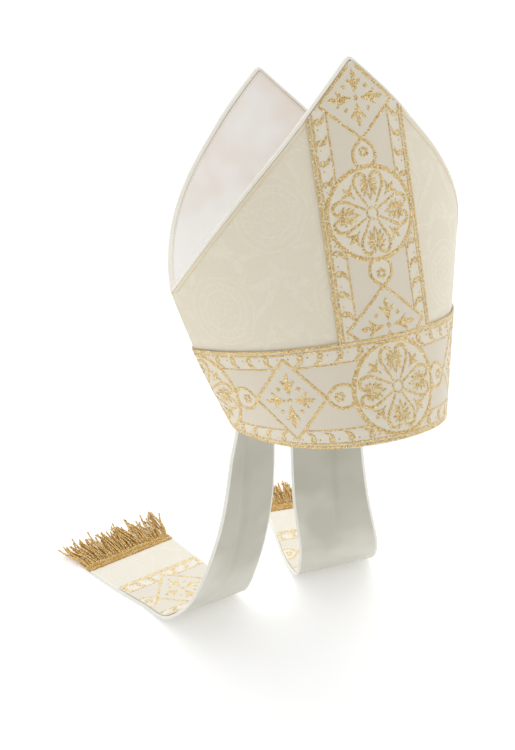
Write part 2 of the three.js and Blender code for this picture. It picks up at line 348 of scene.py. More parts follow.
def tubes(sections):
    """Points and faces of closed tubes, whose sections are tube by ring by side by 3"""
    count, rings, sides = sections.shape[:3]
    tube, ring, k = np.meshgrid(np.arange(count), np.arange(rings - 1), np.arange(sides), indexing="ij")
    first = (tube * rings + ring) * sides
    a, b = first + k, first + (k + 1) % sides
    quads = np.stack([a, b, b + sides, a + sides], -1).reshape(-1, 4)
    near = (np.arange(count) * rings * sides)[:, None] + np.arange(sides)[::-1]
    far = near[:, ::-1] + (rings - 1) * sides
    points = sections.reshape(-1, 3)
    if volume(points, quads) < 0:
        quads, near, far = quads[:, ::-1], near[:, ::-1], far[:, ::-1]
    return points, quads.tolist() + near.tolist() + far.tolist()


def round_tubes(centres, radii, sides, across, outward):
    """Closed round tubes about centres (tube by ring by 3), whose sections lie in (across, outward)"""
    angle = (FULL_TURN * np.arange(sides) / sides)[:, None]
    circle = np.cos(angle) * across[..., None, :] + np.sin(angle) * outward[..., None, :]
    return tubes(centres[..., None, :] + circle * np.asarray(radii)[..., None, None])


def beside(centres):
    """Unit vectors across and outward from lines through centres (line by point by 3)"""
    tangent = unit(np.gradient(centres, axis=1))
    across = unit(np.cross(tangent, (0, 0, 1)))
    return across, np.cross(across, tangent)


def twisted(centres, ply_radius, pitch, sides, hand=1):
    """Two-ply cords along centres (cord by point by 3, metres); pitch is one full turn"""
    across, outward = beside(centres)
    steps = np.diff(centres, axis=1, prepend=centres[:, :1])
    along = np.cumsum(np.linalg.norm(steps, axis=2), axis=1)
    angle = hand * FULL_TURN * along / pitch + np.arange(len(centres))[:, None]
    plies = []
    for start in (0, math.pi):
        c, s = np.cos(angle + start)[..., None], np.sin(angle + start)[..., None]
        plies.append(centres + (across * c + outward * s) * ply_radius * 0.9)
    plies = np.concatenate(plies)
    return round_tubes(plies, ply_radius, sides, *beside(plies))


def join(bodies):
    """Several lots of points and faces as one"""
    points, faces, start = [], [], 0
    for body_points, body_faces in bodies:
        points.append(body_points)
        faces += [[k + start for k in face] for face in body_faces]
        start += len(body_points)
    return np.concatenate(points), faces


# ---- node materials
class Value:
    """A number, place or colour in a shader; arithmetic on it adds Math nodes"""

    def __init__(self, socket):
        self.socket = socket
        self.tree = socket.id_data

    def maths(self, operation, *others):
        return Value(add_node(self.tree, "Math", self, *others, operation=operation).outputs[0])

    def __add__(self, other):
        return self.maths("ADD", other)

    def __sub__(self, other):
        return self.maths("SUBTRACT", other)

    def __mul__(self, other):
        return self.maths("MULTIPLY", other)

    def __truediv__(self, other):
        return self.maths("DIVIDE", other)


def connect(socket, value):
    """Links a socket to a value of the shader, or sets it to a constant"""
    if isinstance(value, Value):
        value.tree.links.new(value.socket, socket)
    elif value is not None:
        socket.default_value = value


def add_node(tree, kind, *inputs, **settings):
    """A shader node whose inputs, in its own order, are values or constants; None leaves one as it is"""
    node = tree.nodes.new("ShaderNode" + kind)
    for key, value in settings.items():
        setattr(node, key, value)
    for socket, value in zip(node.inputs, inputs):
        connect(socket, value)
    return node


def linear(colour):
    """A colour as light, from its usual 0 to 255 values"""
    return tuple(((c / 255 + 0.055) / 1.055) ** 2.4 if c > 10 else c / 3294.6 for c in colour) + (1,)


def mix_colour(share, first, second):
    """From first to second; the node's sockets for colours come after five for other kinds"""
    return Value(add_node(share.tree, "Mix", share, *[None] * 5, first, second, data_type="RGBA").outputs[2])


def noise(place, scale, detail=2.0, roughness=0.5):
    return Value(add_node(place.tree, "TexNoise", place, None, scale, detail, roughness).outputs[0])


def smooth_step(value, low, high, below=0.0, above=1.0):
    """One number where value is under low and another where it is over high, with a smooth change between"""
    node = add_node(value.tree, "MapRange", value, low, high, below, above, interpolation_type="SMOOTHSTEP")
    return Value(node.outputs[0])


def largest(first, *others):
    for other in others:
        first = first.maths("MAXIMUM", other)
    return first


def line_at(value, middle, half_width):
    """1 on a soft line where value is near middle"""
    return smooth_step((value - middle).maths("ABSOLUTE"), half_width, half_width * 0.4)


def weave(x, y, pitch):
    """Height of a plain weave, with threads pitch apart"""
    warp, weft = ((place * (FULL_TURN / pitch)).maths("SINE") for place in (x, y))
    return warp * weft


def new_material(name, roughness, metallic=0.0, sheen=0.0):
    """A material and its shader, the point on the object in metres, and the place on the flat cloth"""
    material = bpy.data.materials.new(name)
    material.use_nodes = True
    shader = material.node_tree.nodes["Principled BSDF"]
    constants = {"Roughness": roughness, "Metallic": metallic, "Sheen Weight": sheen, "Sheen Roughness": 0.4}
    for socket, value in constants.items():
        shader.inputs[socket].default_value = value
    spot = Value(add_node(material.node_tree, "TexCoord").outputs["Object"])
    flat = Value(add_node(material.node_tree, "UVMap", uv_map="Flat").outputs[0])
    x, y, _ = add_node(material.node_tree, "SeparateXYZ", flat).outputs
    return material, shader, spot, Value(x), Value(y)


def bump(shader, height, distance, strength, after=None):
    """Raises the surface by height, on top of the bump that after gives"""
    normal = Value(add_node(height.tree, "Bump", strength, distance, None, height, after).outputs[0])
    connect(shader.inputs["Normal"], normal)
    return normal


# The damask's flowers in metres: repeat of their lattice, middle of one flower, and how far out its parts are
DAMASK_REPEAT = (0.094, 0.128)
DAMASK_FLOWER = (-0.071, 0.17)
FLOWER_RINGS = (0.0035, 0.015, 0.02, 0.025)
PETALS_OUT = 0.0095
BEADS_OUT = 0.0175
FOLIAGE_STARTS = (0.0265, 0.028)
FOLIAGE_ENDS = (0.05, 0.058)


def rosette(x, y, shift):
    """One lattice of the damask's round flowers, and the spiral foliage round each of them"""
    u, v = ((place + shift * repeat).maths("WRAP", repeat / 2, -repeat / 2)
            for place, repeat in zip((x, y), DAMASK_REPEAT))
    radius = (u * u + v * v).maths("SQRT")
    angle = u.maths("ARCTAN2", v)
    rings = [line_at(radius, ring, 0.0011) for ring in FLOWER_RINGS]
    petals = line_at(radius + (angle * 8.0).maths("COSINE") * 0.0021, PETALS_OUT, 0.0013)
    beads = smooth_step((angle * 26.0).maths("COSINE"), 0.1, 0.6) * line_at(radius, BEADS_OUT, 0.0016)
    spiral = angle.maths("ABSOLUTE") * 7.0 + (radius + 0.004).maths("LOGARITHM", math.e) * 9.0
    foliage = smooth_step(spiral.maths("COSINE"), 0.55, 0.9)
    foliage = foliage * smooth_step(radius, *FOLIAGE_STARTS) * smooth_step(radius, *FOLIAGE_ENDS, 1.0, 0.0)
    return largest(*rings, petals, beads), foliage


def damask_pattern(x, y, spot):
    """The whole damask figure: two lattices of flowers with broken curling foliage between them"""
    wander = (noise(spot, 60.0, 1.0) - 0.5) * 0.006
    x = x + wander - DAMASK_FLOWER[0]
    y = y - wander - DAMASK_FLOWER[1]
    flowers, foliage = zip(rosette(x, y, 0.0), rosette(x, y, 0.5))
    leaves = smooth_step(noise(spot, 150.0, 2.0, 0.6), 0.4, 0.5)
    return largest(*flowers, largest(*foliage) * leaves)


def damask(name, ground, raised, mottle):
    """Silk woven tone on tone: the figure is a little lighter, smoother and higher than its ground"""
    material, shader, spot, x, y = new_material(name, 0.6, sheen=0.15)
    figure = damask_pattern(x, y, spot)
    colour = mix_colour(figure, linear(ground), linear(raised))
    cloud = smooth_step(noise(spot, 420.0, 3.0, 0.7), 0.3, 0.7)
    connect(shader.inputs["Base Color"], mix_colour(cloud * 0.4, colour, linear(mottle)))
    connect(shader.inputs["Roughness"], figure * -0.2 + 0.66)
    grain = weave(x, y, 0.0008) * 0.25 + noise(spot, 900.0) * 0.8
    fine = bump(shader, grain, 0.00012, 0.6)
    bump(shader, figure, 0.00012, 0.6, after=fine)
    return material


def satin(name, colour, shade, wrinkle, far=None):
    """Smooth cloth with broad soft wrinkles, whose raised parts are painted towards the shade colour, a
    painted shade of the wrinkles; far, when given, is the colour it takes 0.25 m and more up its cut, a
    painted change of light along it
    """
    material, shader, spot, x, y = new_material(name, 0.5, sheen=0.2)
    broad = noise(spot, 17.0, 2.0, 0.55)
    # Painted shade: the noise that raises the wrinkles also mixes in the darker shade colour
    colour = mix_colour(smooth_step(broad, 0.35, 0.7), linear(colour), linear(shade))
    if far is not None:
        # Painted light along the cut: on the horns' lining far is a painted warm reflection near the peak; on
        # the straps' lining the painted shade lifts towards far
        colour = mix_colour(smooth_step(y + (broad - 0.5) * 0.25, 0.15, 0.25), colour, linear(far))
    connect(shader.inputs["Base Color"], colour)
    fine = bump(shader, weave(x, y, 0.0006) + noise(spot, 700.0), 0.00006, 0.5)
    bump(shader, broad, wrinkle, 0.5, after=fine)
    return material


def galloon_ground(name, satin_colour, figure_colour):
    """The woven ground of the galloon: beige satin, whiter under the figures; Flat is in band widths"""
    material, shader, spot, along, across = new_material(name, 0.5, sheen=0.1)
    from_medallion = along.maths("PINGPONG", HALF_REPEAT)
    from_diamond = from_medallion * -1.0 + HALF_REPEAT
    from_middle = across.maths("ABSOLUTE")

    def ellipse(place, centre, half_length, half_height):
        u, v = (place - centre) / half_length, from_middle / half_height
        return (u * u + v * v).maths("LESS_THAN", 1.0)

    medallions = ellipse(from_medallion, 0.0, *MEDALLION)
    links = ellipse(from_diamond, *LINK_GROUND)
    diamonds = (from_diamond / DIAMOND[0] + from_middle / DIAMOND[1]).maths("LESS_THAN", 1.0)
    borders = from_middle.maths("GREATER_THAN", BORDER_LINE)
    white = largest(medallions, links, diamonds, borders)
    colour = mix_colour(white, linear(satin_colour), linear(figure_colour))
    slant = (along + across * 2.2) * (FULL_TURN / TWILL_PITCH)
    twill = smooth_step(slant.maths("SINE"), 0.1, 0.8) * diamonds
    colour = mix_colour(twill * 0.55, colour, linear((202, 194, 176)))
    cloud = smooth_step(noise(spot, 600.0, 2.0, 0.6), 0.35, 0.7)
    connect(shader.inputs["Base Color"], mix_colour(cloud * 0.2, colour, linear((214, 205, 186))))
    bump(shader, weave(along, across, 0.009) + twill * 1.5, 0.00008, 0.6)
    return material


def gold_thread(name, dark, middle, bright, grain):
    """Metal-wrapped thread that lies in short slanted stitches, mottled here in small round cells; the cells
    that take the bright colour are painted glints
    """
    material, shader, spot, _, _ = new_material(name, 0.38, metallic=0.55)
    cells = add_node(spot.tree, "TexVoronoi", spot, None, 1 / grain).outputs
    chance = Value(add_node(spot.tree, "SeparateColor", Value(cells["Color"])).outputs[0])
    ramp = add_node(spot.tree, "ValToRGB", chance)
    # Painted glints: the cells at the top of the range turn to the bright colour
    stops = [(0.0, dark), (0.3, middle), (0.72, middle), (0.97, bright)]
    while len(ramp.color_ramp.elements) < len(stops):
        ramp.color_ramp.elements.new(0.5)
    for element, (position, colour) in zip(ramp.color_ramp.elements, stops):
        element.position = position
        element.color = linear(colour)
    connect(shader.inputs["Base Color"], Value(ramp.outputs["Color"]))
    connect(shader.inputs["Roughness"], chance * -0.2 + 0.48)
    bump(shader, Value(cells["Distance"]) * -0.6 + chance * 0.5, 0.0003, 0.8)
    return material


def plain_thread(name, colour):
    """Cotton thread, mottled by its twist"""
    material, shader, spot, _, _ = new_material(name, 0.6, sheen=0.2)
    twist = noise(spot, 1400.0, 2.0, 0.6)
    darker = tuple(0.8 * c for c in linear(colour)[:3]) + (1,)
    connect(shader.inputs["Base Color"], mix_colour(twist, darker, linear(colour)))
    bump(shader, twist, 0.0001, 0.5)
    return material


# ---- the galloon's figures, in band widths
HALF_REPEAT = 1.045  # from the middle of a medallion to the middle of a diamond
MEDALLION = (0.447, 0.466)  # half its length along the band and half its height
DIAMOND = (0.37, 0.41)
LINK_MIDDLE = 0.485  # the small ring between them, from the diamond's middle
LINK_GROUND = (0.49, 0.125, 0.11)  # its white ground: middle, half length and half height
BORDER_LINE = 0.315  # from the band's middle to the line that bounds each border
EDGE_LINES = [(0.486, 0.03), (0.452, 0.025)]  # from the band's middle, and width
TWILL_PITCH = 0.05
QUARTERS = [k * math.pi / 2 for k in range(4)]

# A quarter medallion's heart: across the petal, out from the middle, and width, in radii
HEART = np.array([
    (0.085, 0.145, 0.022), (0.2, 0.35, 0.028), (0.3, 0.54, 0.034), (0.31, 0.69, 0.038), (0.25, 0.795, 0.038),
    (0.16, 0.82, 0.036), (0.085, 0.785, 0.036), (0.06, 0.725, 0.036), (0.085, 0.67, 0.03),
])
# The leaf inside a heart: each lobe runs from its root to its tip
LEAF_LOBES = [
    ((0.0, 0.70), (0.035, 0.56), (0.045, 0.44), (0.0, 0.27)),
    ((0.035, 0.50), (0.09, 0.45), (0.12, 0.36)),
    ((0.035, 0.57), (0.11, 0.53), (0.175, 0.46)),
    ((0.03, 0.63), (0.12, 0.61), (0.205, 0.585)),
    ((0.03, 0.68), (0.11, 0.67), (0.165, 0.70)),
]
LEAF_WIDTHS = [(0.02, 0.034, 0.036, 0.02)] + [(0.024, 0.062, 0.03)] * 4
LEAF_THIN = 0.58
# A sprig between two hearts, along its own diagonal
SPRIG = [
    ((0.0, 0.47), (0.0, 0.60), (0.0, 0.70), (0.0, 0.80)),
    ((0.01, 0.56), (0.075, 0.66), (0.17, 0.71)),
    ((-0.01, 0.56), (-0.075, 0.66), (-0.17, 0.71)),
]
SPRIG_WIDTHS = [(0.02, 0.03, 0.075, 0.02), (0.03, 0.045, 0.022), (0.03, 0.045, 0.022)]
SPRIG_THIN = 0.66
# A fleuron of the diamond, out from its middle, in half diagonals
FLEURON = [
    ((0.0, 0.13), (0.0, 0.24), (0.0, 0.36), (0.0, 0.46)),
    ((0.0, 0.34), (0.08, 0.38), (0.135, 0.43), (0.19, 0.49)),
    ((0.0, 0.34), (-0.08, 0.38), (-0.135, 0.43), (-0.19, 0.49)),
    ((0.0, 0.44), (0.0, 0.52), (0.0, 0.60), (0.0, 0.69)),
]
FLEURON_WIDTHS = [
    (0.014, 0.052, 0.084, 0.05), (0.036, 0.04, 0.034, 0.014), (0.036, 0.04, 0.034, 0.014),
    (0.02, 0.046, 0.05, 0.014),
]
DIAMOND_DOTS = [(-0.28, -0.28), (0.28, -0.28), (-0.28, 0.28), (0.28, 0.28)]

LINK_SIDE = [
    (0.366, 0.0), (0.395, 0.042), (0.435, 0.085), (0.485, 0.11), (0.54, 0.112), (0.58, 0.098), (0.606, 0.07),
]
PAISLEY_TAIL = [(0.014, -0.010), (0.004, -0.032), (-0.026, -0.054), (-0.066, -0.072)]
PAISLEY_COUNT = 4
PAISLEY_STEP = 0.187
BULB_PLACE = (0.17, 0.406)  # the first paisley's bulb, and the first dot beside it
DOT_PLACE = (0.052, 0.408)


def stroke(points, widths, steps=6, turn=0.0, scale=(1, 1), flip=(1, 1)):
    """A gold line of changing width as rows of (along, across, width): smooth through its points"""
    rows = np.column_stack([np.asarray(points, float), np.broadcast_to(widths, len(points)).astype(float)])
    if len(points) > 2:
        rows = spline(rows, steps)
    c, s = math.cos(turn), math.sin(turn)
    x, y = (rows[:, :2] * flip).T
    rows[:, :2] = np.column_stack([x * c - y * s, x * s + y * c]) * scale
    return rows


def lobes(lines, widths, thin, turn, scale, side=1):
    """One stroke for each line of a leaf or flower; side -1 mirrors it"""
    return [stroke(line, np.multiply(width, thin), 4, turn, scale, (side, 1))
            for line, width in zip(lines, widths)]


def ellipse_stroke(centre, radii, width, count=90):
    angle = np.linspace(0, FULL_TURN, count)
    places = np.array(centre) + np.column_stack([np.cos(angle), np.sin(angle)]) * radii
    return np.column_stack([places, np.full(count, width)])


def dot(centre, radius):
    """A round spot, as one short thick stroke"""
    x = np.linspace(-1, 1, 9)
    width = 2 * radius * np.sqrt(np.clip(1 - x**2, 0.02, 1))
    return np.column_stack([centre[0] + radius * x, np.full(9, centre[1]), width])


def medallion():
    """A ring with four hearts, a leaf in each, and four sprigs between them"""
    outer, inner = (tuple(share * r for r in MEDALLION) for share in (0.953, 0.12))
    strokes = [ellipse_stroke((0, 0), outer, 0.047), ellipse_stroke((0, 0), inner, 0.022, 40)]
    for turn in QUARTERS:
        for side in (1, -1):
            strokes += lobes([HEART[:, :2]], [HEART[:, 2]], 1, turn, MEDALLION, side)
            strokes += lobes(LEAF_LOBES, LEAF_WIDTHS, LEAF_THIN, turn, MEDALLION, side)
        strokes += lobes(SPRIG, SPRIG_WIDTHS, SPRIG_THIN, turn + math.pi / 4, MEDALLION)
    return strokes


def diamond_figures():
    """A centre dot, four fleurons and four dots"""
    strokes = [dot((0, 0), 0.026)]
    for turn, place in zip(QUARTERS, DIAMOND_DOTS):
        strokes += lobes(FLEURON, FLEURON_WIDTHS, 1, turn, DIAMOND)
        strokes.append(dot((place[0] * DIAMOND[0], place[1] * DIAMOND[1]), 0.023))
    return strokes


def diamond_outline(with_far_side):
    """The diamond's four sides, or only the two on the near side"""
    corners = [(DIAMOND[0], 0), (0, DIAMOND[1]), (-DIAMOND[0], 0), (0, -DIAMOND[1])]
    sides = [[corners[k], corners[(k + 1) % 4]] for k in range(4)]
    return [stroke(ends, 0.032) for ends in sides if with_far_side or min(ends)[0] < 0]


def paisley(along, side):
    """A small ring at the band's edge with a tail that curls in towards the diamond"""
    bulb = (along, side * BULB_PLACE[1])
    tail = [(bulb[0] + x, bulb[1] + side * y) for x, y in PAISLEY_TAIL]
    return [ellipse_stroke(bulb, (0.023, 0.026), 0.02, 18), stroke(tail, (0.03, 0.044, 0.034, 0.01), 4)]


def half_repeat():
    """What lies between the middle of a diamond and the medallion beside it"""
    strokes = []
    for side in (1, -1):
        strokes.append(stroke(LINK_SIDE, 0.036, 5, flip=(1, side)))
        strokes.append(stroke([(0.086, side * BORDER_LINE), (0.712, side * BORDER_LINE)], 0.019))
        for k in range(PAISLEY_COUNT + 1):
            if k < PAISLEY_COUNT:
                strokes += paisley(BULB_PLACE[0] + PAISLEY_STEP * k, side)
            strokes.append(dot((DOT_PLACE[0] + PAISLEY_STEP * k, side * DOT_PLACE[1]), 0.011))
    petals = [(LINK_MIDDLE + 0.037 * math.cos(a), 0.037 * math.sin(a)) for a in np.arange(6) * math.pi / 3]
    strokes += [dot(petal, 0.019) for petal in petals]
    strokes.append(ellipse_stroke((LINK_MIDDLE, 0), (0.027, 0.027), 0.016, 24))
    return strokes


def galloon_strokes(first, last, peak):
    """All gold lines of a band that runs from first to last, with a medallion's middle at 0"""
    strokes = [stroke([(first, side * line), (last, side * line)], width)
               for line, width in EDGE_LINES for side in (1, -1)]
    reach = HALF_REPEAT + 0.5
    for k in range(math.floor((first - reach) / HALF_REPEAT), math.ceil((last + reach) / HALF_REPEAT) + 1):
        middle = k * HALF_REPEAT
        if k % 2 == 0:
            strokes += [row + (middle, 0, 0) for row in medallion()]
            continue
        top = peak and middle + HALF_REPEAT > last
        strokes += [row + (middle, 0, 0) for row in diamond_figures() + diamond_outline(not top)]
        for side in (1, -1):
            strokes += [row * (side, 1, 1) + (middle, 0, 0) for row in half_repeat()]
    return strokes


def band_strokes(first, last, low, high, middle=0.0, peak=False):
    """A band's gold lines in millimetres about its middle, but for those wholly below low or above high"""
    strokes = galloon_strokes(middle + first, middle + last, peak)
    strokes = [(row - (middle, 0, 0)) * GALLOON_WIDTH for row in strokes]
    return [row for row in strokes if row[:, 0].min() < high and row[:, 0].max() > low]


# ---- raised gold thread, in millimetres
FIGURE_STEP = 1.1  # between the points of a stroke
SHORTEST_RUN = 0.4
THREAD_HEIGHT = 0.42
THREAD_FULL_WIDTH = 0.8  # a stroke this wide has the full height
THREAD_SINK = 0.06
LAYER_STEP = 0.015  # strokes that cross lie in different layers
LAYER_COUNT = 5
THREAD_SECTION = [(-0.5, 0), (-0.34, 0.8), (0, 1), (0.34, 0.8), (0.5, 0)]  # across, height


def kept_runs(rows, inside):
    """The stretches of a stroke where inside(along, across) is above 0, cut exactly at its border"""
    depth = inside(rows[:, 0], rows[:, 1])
    runs, run = [], []
    for k in range(len(rows)):
        if k and (depth[k] > 0) != (depth[k - 1] > 0):
            share = depth[k - 1] / (depth[k - 1] - depth[k])
            run.append(rows[k - 1] + (rows[k] - rows[k - 1]) * share)
        if depth[k] > 0:
            run.append(rows[k])
        elif run:
            runs.append(np.array(run))
            run = []
    if run:
        runs.append(np.array(run))
    return [r for r in runs if len(r) > 1 and lengths(r[:, :2])[-1] > SHORTEST_RUN]


def embroidery(strokes, inside, surface):
    """Raised closed ribbons along strokes (mm), on surface(along, across, height) in metres"""
    flat_points, heights, faces, start = [], [], [], 0
    size = len(THREAD_SECTION)
    for number, rows in enumerate(strokes):
        for run in kept_runs(spaced(rows, FIGURE_STEP), inside):
            direction = unit(np.gradient(run[:, :2], axis=0) + 1e-12)
            normal = direction[:, ::-1] * (-1, 1)
            thick = THREAD_HEIGHT * np.minimum(1, run[:, 2] / THREAD_FULL_WIDTH)
            thick = thick + LAYER_STEP * (number % LAYER_COUNT)
            for across, height in THREAD_SECTION:
                flat_points.append(run[:, :2] + normal * (run[:, 2] * across)[:, None])
                heights.append(thick * height - THREAD_SINK)
            count = len(run)
            i = np.arange(count - 1)
            for k in range(size):
                a, b = start + k * count + i, start + ((k + 1) % size) * count + i
                faces += np.stack([a, b, b + 1, a + 1], -1).tolist()
            near = [start + k * count for k in range(size)]
            faces += [near[::-1], [k + count - 1 for k in near]]
            start += size * count
    flat_points = np.concatenate(flat_points)
    return surface(flat_points[:, 0], flat_points[:, 1], np.concatenate(heights)), faces


# ---- materials
DAMASK = damask("damask", (229, 221, 200), (233, 225, 205), (224, 215, 193))
STRAP_DAMASK = damask("strap_damask", (235, 230, 216), (238, 233, 221), (231, 226, 211))
# The horns' lining: its far colour is a painted warm reflection towards the peak
SATIN = satin("white_satin", (255, 254, 252), (249, 247, 244), 0.004, (247, 237, 227))
# Painted shade: the straps' lining is painted darker than the horns' lining, and darkest near the top of the
# strap, for the display head's shade
SHADED_STRAP_LINING = satin("strap_lining_painted_shade", (196, 194, 180), (187, 185, 168), 0.002, (222, 220, 207))
PIPING = satin("piping_satin", (246, 242, 231), (241, 236, 224), 0.0004)
STRAP_PIPING = satin("strap_piping_satin", (244, 242, 234), (239, 237, 227), 0.0004)
EDGE_TAPE = satin("edge_tape", (232, 220, 194), (227, 214, 186), 0.0004)
GROUND = galloon_ground("galloon_ground", (226, 216, 197), (232, 224, 206))
STRAP_GROUND = galloon_ground("strap_galloon_ground", (236, 230, 217), (243, 239, 229))
# The last colour of each gold is its painted glint
GOLD = gold_thread("woven_gold", (154, 124, 74), (222, 192, 132), (255, 247, 210), 0.0006)
STRAP_GOLD = gold_thread("woven_pale_gold", (180, 152, 102), (234, 211, 160), (255, 250, 222), 0.0006)
GOLD_CORD = gold_thread("gold_cord", (150, 112, 56), (226, 188, 116), (255, 240, 188), 0.0007)
CREAM_THREAD = plain_thread("cream_thread", (240, 228, 200))

# ---- the two horns
ROW_STEP = 2.2
HORN_COLUMNS = 110
TITULUS_COLUMNS = 30
PEAK_CLEAR = 0.8  # the edge's path turns this far above the peak
ROLL_STEP = 1.3
ROLL_SIDES = 14
ROLL_HALF_WIDTH = 1.6
ROLL_HALF_DEPTH = 1.8
ROLL_SWELL_END = 46  # across: from here to the titulus the roll grows to cover the galloon's edge
TAPE_WIDTH = 2.3
STITCH_LENGTH = 2.3
STITCH_STEP = 3.1
STITCH_RADIUS = 0.22
STITCH_REACH = 156  # across: stitches further out would cross the side seam
STITCH_SEAM_CLEAR = 3
# A stitch's form: how far along it, and its share of the radius there
STITCH_FORM = np.array([(0, 0.15), (0.04, 0.6), (0.2, 0.95), (0.5, 1), (0.8, 0.95), (0.96, 0.6), (1, 0.15)])
BAND_MIDDLE = (RIM_MARGIN + GALLOON_WIDTH) / 2
TITULUS_MEDALLION = 160  # up from the rim to the medallion's middle
TITULUS_FOOT = GALLOON_WIDTH + GAP
CIRCULUS_REACH = 152  # no figure lies wholly further across
# How far gold and tape stay from what bounds them
FIGURE_CLEAR = {"seam": 0.2, "roll": 0.5, "tape": 0.4, "strap": 1.2}
# The gold line along the edges at the peak: where it starts and ends, its distance from them, its width
PEAK_LINE = {"up": (236, PEAK - 3.2), "inset": 1.3, "width": (1.7, 2.6)}


def circulus_flat(flat):
    return (flat - (0, BAND_MIDDLE)) / GALLOON_WIDTH


def titulus_flat(flat):
    return (flat[:, ::-1] - (TITULUS_MEDALLION, 0)) / GALLOON_WIDTH


def horn_layer(name, facing, ups, outs, material, slot, rounding, limit=np.inf, columns=HORN_COLUMNS,
               to_flat=in_metres):
    """A closed layer of a horn, from its lowest to its highest place, with each point's place on the sheet it
    was cut as
    """
    height = ups[1] - ups[0]
    up = np.linspace(*ups, math.ceil(height / ROW_STEP) + 1)
    share = np.linspace(-1, 1, columns + 1)
    halves = [np.minimum(half_width(up, out), limit) for out in outs]
    across = [half[:, None] * share for half in halves]
    faces = [horn(a, up[:, None], out, facing) for a, out in zip(across, outs)]
    flat = np.stack(np.broadcast_arrays(across, up[:, None]), -1).reshape(-1, 2)
    piece = make_cloth(name, faces, material, slot, to_flat(flat))
    soften(piece, rounding)


def edge_path(step, inset):
    """The slanted edges from the foot of one side over the peak to the other, as flat (across, up, nx, ny)"""
    side = spaced(EDGE_LINE[:, ::-1][EDGE_LINE[:, 0] > HORN_EDGE[0, 0] + 1], step)
    path = np.vstack([side * (-1, 1), [(0, PEAK + PEAK_CLEAR)], side[::-1]])
    tangent = unit(np.gradient(path, axis=0))
    normal = tangent[:, ::-1] * (-1, 1)
    return np.column_stack([path - normal * inset, normal])


def edge_piping(side, facing):
    """The white roll along the slanted edges; its ends are cut at the side seams"""
    path = edge_path(ROLL_STEP, -PIPING_RADIUS)
    angle = FULL_TURN * np.arange(ROLL_SIDES) / ROLL_SIDES
    near_titulus = (ROLL_SWELL_END - np.abs(path[:, :1])) / (ROLL_SWELL_END - GALLOON_WIDTH / 2)
    swell = np.clip(near_titulus, 0, 1) * BAND_FACE / 2
    middle = swell - (PANEL_THICK + GAP + LINING_THICK) / 2
    across, up = (path[:, k, None] + path[:, k + 2, None] * ROLL_HALF_WIDTH * np.cos(angle) for k in (0, 1))
    level = horn_level(across, up, middle + (ROLL_HALF_DEPTH + swell) * np.sin(angle))
    keep = np.flatnonzero(level[..., 1].mean(1) < -GAP / 2)
    level = level[max(keep[0] - 1, 0):keep[-1] + 2]
    level[..., 1] = np.minimum(level[..., 1], -GAP / 2)
    points = tipped(level * (1, facing, 1), TIP_BACK) * MM
    along = np.arange(len(points))[:, None] * ROLL_STEP
    flat = np.stack(np.broadcast_arrays(along, angle * PIPING_RADIUS), -1).reshape(-1, 2) * MM
    make_piece(f"{side}_edge_roll", *tubes(points[None]), PIPING, "satin", [f"{side}_edge_piping"], flat)


def edge_stitches(side, facing, out, name, from_middle, inset):
    """A row of stitches just inside the slanted edges, each a small capsule"""
    path = edge_path(0.5, inset)[:, :2]
    marks = lengths(path)
    begins = np.arange(6, marks[-1] - 8, STITCH_STEP)
    flats = [at(path, marks, where) for where in (begins, begins + STITCH_LENGTH)]
    across, up = flats[0].T
    keep = (np.abs(across) > from_middle) & (np.abs(across) < STITCH_REACH)
    keep &= horn_level(across, up, out)[:, 1] < -STITCH_SEAM_CLEAR
    starts, ends = (horn(*flat[keep].T, out, facing) for flat in flats)
    along = unit(ends - starts)[:, None]
    helper = np.where(np.abs(along[..., 2:]) < 0.9, (0, 0, 1), (1, 0, 0))
    beside_it = unit(np.cross(along, helper))
    centres = starts[:, None] + (ends - starts)[:, None] * STITCH_FORM[:, 0, None]
    radii = STITCH_RADIUS * MM * STITCH_FORM[:, 1]
    body = round_tubes(centres, radii, 6, beside_it, np.cross(along, beside_it))
    make_piece(f"{side}_{name}", *body, CREAM_THREAD, "satin")


def edge_tape(side, facing):
    """A narrow tape along the slanted edges, sewn over the panel beside the roll"""
    def inside(across, up):
        clear_of_titulus = np.abs(across) - GALLOON_WIDTH / 2 - GAP
        return np.minimum(clear_of_titulus, seam_across(up, 0) - np.abs(across) - FIGURE_CLEAR["tape"])

    def surface(across, up, height):
        return horn(across, up, height * 0.6, facing)

    path = edge_path(FIGURE_STEP, TAPE_WIDTH / 2 + 0.1)
    rows = np.column_stack([path[:, :2], np.full(len(path), TAPE_WIDTH)])
    make_piece(f"{side}_edge_tape", *embroidery([rows], inside, surface), EDGE_TAPE, "satin")


def circulus_gold(side, facing):
    def inside(along, across):
        return seam_across(across + BAND_MIDDLE, BAND_FACE) - np.abs(along) - FIGURE_CLEAR["seam"]

    def surface(along, across, height):
        return horn(along, across + BAND_MIDDLE, BAND_FACE + height, facing)

    strokes = band_strokes(-2.1, 2.1, -CIRCULUS_REACH, CIRCULUS_REACH)
    make_piece(f"{side}_circulus_gold", *embroidery(strokes, inside, surface), GOLD, "gold_cord")


def titulus_gold(side, facing):
    foot = TITULUS_FOOT + FIGURE_CLEAR["seam"]

    def inside(along, across):
        up = along + TITULUS_MEDALLION
        return np.minimum(up - foot, half_width(up, 0) - np.abs(across) - FIGURE_CLEAR["roll"])

    def surface(along, across, height):
        return horn(across, along + TITULUS_MEDALLION, BAND_FACE + height, facing)

    strokes = band_strokes(-1.2, 1.36, foot - TITULUS_MEDALLION, PEAK - TITULUS_MEDALLION, peak=True)
    up = np.linspace(*PEAK_LINE["up"], 12)
    width = np.linspace(*PEAK_LINE["width"], 12)
    for edge in (1, -1):
        across = edge * (edge_across(up) - PEAK_LINE["inset"])
        strokes.append(np.column_stack([up - TITULUS_MEDALLION, across, width]))
    make_piece(f"{side}_titulus_gold", *embroidery(strokes, inside, surface), GOLD, "gold_cord")


